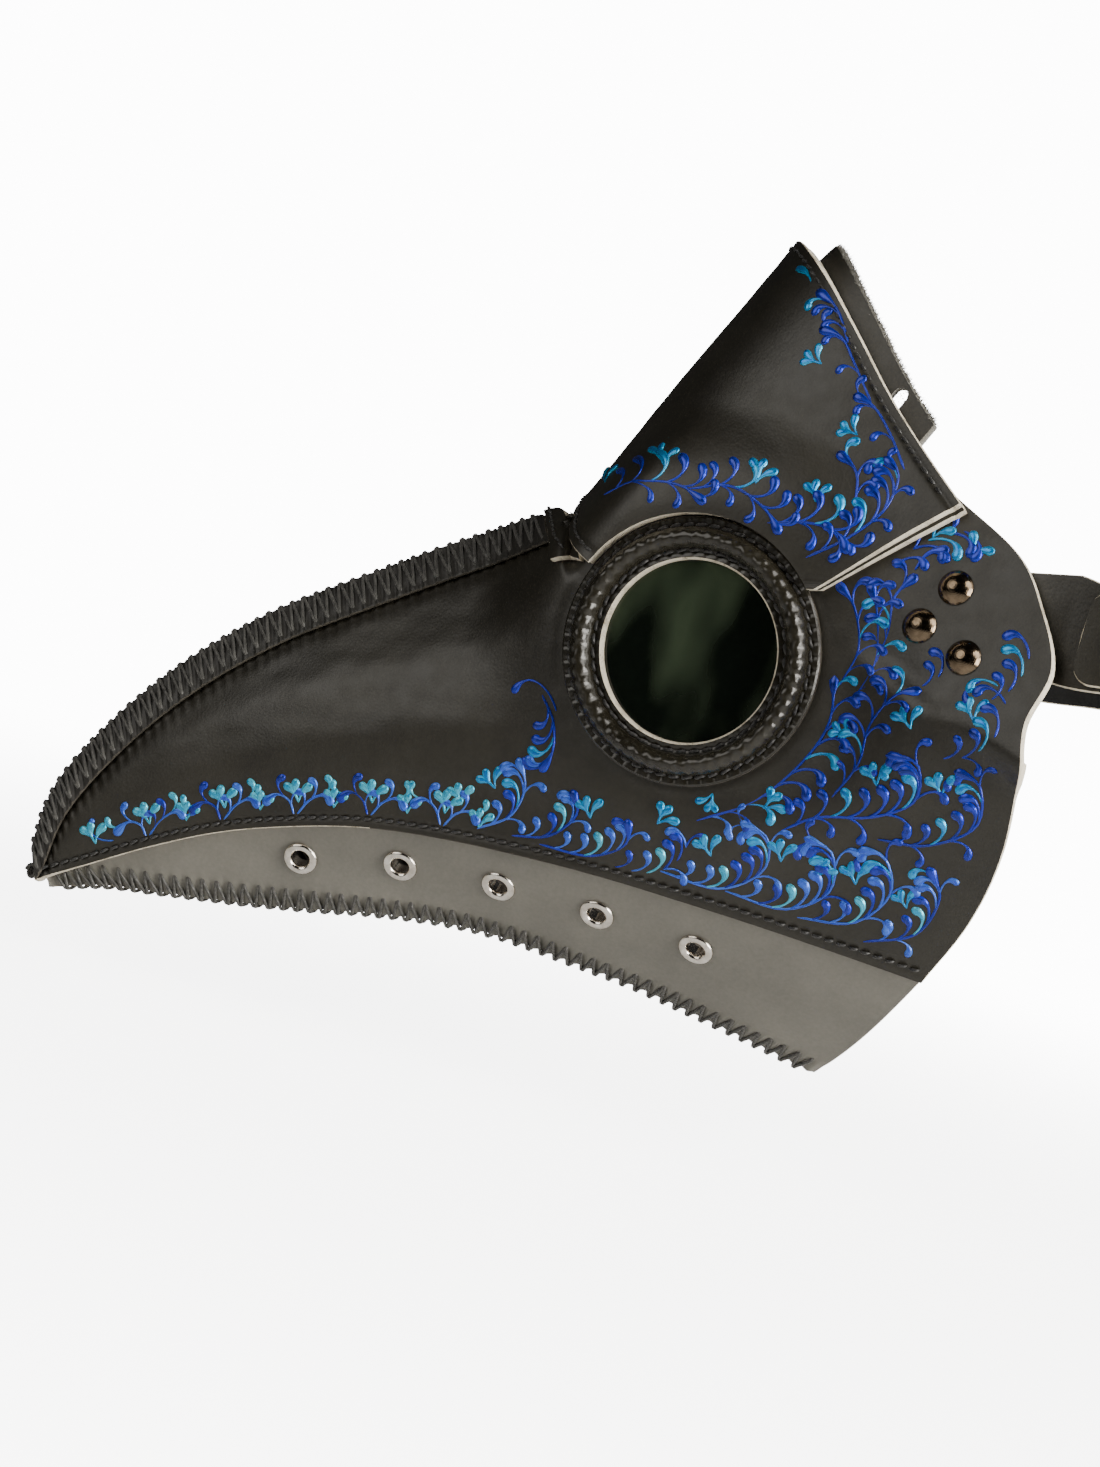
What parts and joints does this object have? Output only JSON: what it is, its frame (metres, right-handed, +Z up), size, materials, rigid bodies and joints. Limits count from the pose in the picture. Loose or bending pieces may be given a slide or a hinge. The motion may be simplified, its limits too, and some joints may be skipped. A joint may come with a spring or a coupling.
{
  "type": "plague doctor mask",
  "caption": "Long-beaked leather plague doctor mask with glass eyes in padded rings, riveted head straps and a buckle.",
  "frame": {"origin": "midway between the two eye glasses, on the mask's middle plane", "axes": "+Z up as worn, the beak points to -Y and the open back to +Y, the wearer's left is +X"},
  "size_m": [0.1582, 0.3761, 0.2345],
  "materials": {
    "black_leather": "fine pebble grain, satin, cream cut edges",
    "grey_leather": "smooth satin",
    "binding": "thin soft leather under the stitches",
    "thread": "waxed thick thread",
    "foam": "soft foam, hidden",
    "dark_glass": "polished dark green glass",
    "black_plastic": "matte",
    "nickel": "bright nickel plate",
    "dark_nickel": "smoked nickel plate",
    "suede": "smooth black face, napped grey back"
  },
  "bodies": {
    "mask": {"left_side_panel": "black_leather", "right_side_panel": "black_leather", "left_jaw_panel": "grey_leather", "right_jaw_panel": "grey_leather", "forehead_panel": "black_leather", "forehead_lining": "black_leather", "nose_bridge_patch": "black_leather", "ridge_binding": "binding", "ridge_thread": "thread", "keel_thread": "thread", "left_eye_ring": "black_leather", "right_eye_ring": "black_leather", "left_ring_padding": "foam", "right_ring_padding": "foam", "left_lens": "dark_glass", "right_lens": "dark_glass", "left_lens_retainer": "black_plastic", "right_lens_retainer": "black_plastic", "left_eyelets": "nickel", "right_eyelets": "nickel", "left_eyelet_washers": "nickel", "right_eyelet_washers": "nickel", "left_rivets": "dark_nickel", "right_rivets": "dark_nickel", "left_rivet_backs": "dark_nickel", "right_rivet_backs": "dark_nickel", "left_strap_anchor": "black_leather", "right_strap_anchor": "black_leather", "crown_strap_root": "suede", "crown_strap_rivet": "dark_nickel"},
    "left_head_strap": {"left_strap_tab": "black_leather", "left_strap": "black_leather", "left_strap_rivets": "dark_nickel"},
    "right_head_strap": {"right_strap_tab": "black_leather", "right_strap": "black_leather", "right_strap_rivets": "dark_nickel"},
    "buckle": {"buckle_frame": "nickel"},
    "prong": {"buckle_prong": "nickel"},
    "keeper": {"strap_keeper": "black_leather"},
    "crown": {"crown_strap": "suede"}
  },
  "joints": [
    {"name": "left_strap_swing", "type": "hinge", "parent": "mask", "child": "left_head_strap", "pos_m": [0.06381, 0.09, 0.03], "axis": [0, 0, 1], "range_deg": [-36, 8]},
    {"name": "right_strap_swing", "type": "hinge", "parent": "mask", "child": "right_head_strap", "pos_m": [-0.06381, 0.09, 0.03], "axis": [0, 0, 1], "range_deg": [-8, 36]},
    {"name": "buckle_frame_turn", "type": "hinge", "parent": "left_head_strap", "child": "buckle", "pos_m": [0.01074, 0.18986, 0.0224], "axis": [0, 0, 1], "range_deg": [-40, 40]},
    {"name": "buckle_prong_lift", "type": "hinge", "parent": "buckle", "child": "prong", "pos_m": [0.01074, 0.18986, 0.0224], "axis": [0, 0, 1], "range_deg": [-90, 0]},
    {"name": "keeper_slide", "type": "slide", "parent": "left_head_strap", "child": "keeper", "axis": [-0.829, 0.5592, 0], "range_m": [-0.006, 0.014]},
    {"name": "crown_strap_fold", "type": "hinge", "parent": "mask", "child": "crown", "pos_m": [0.01813, 0.00194, 0.10812], "axis": [0, 0.4099, 0.9121], "range_deg": [0, 45]}
  ]
}
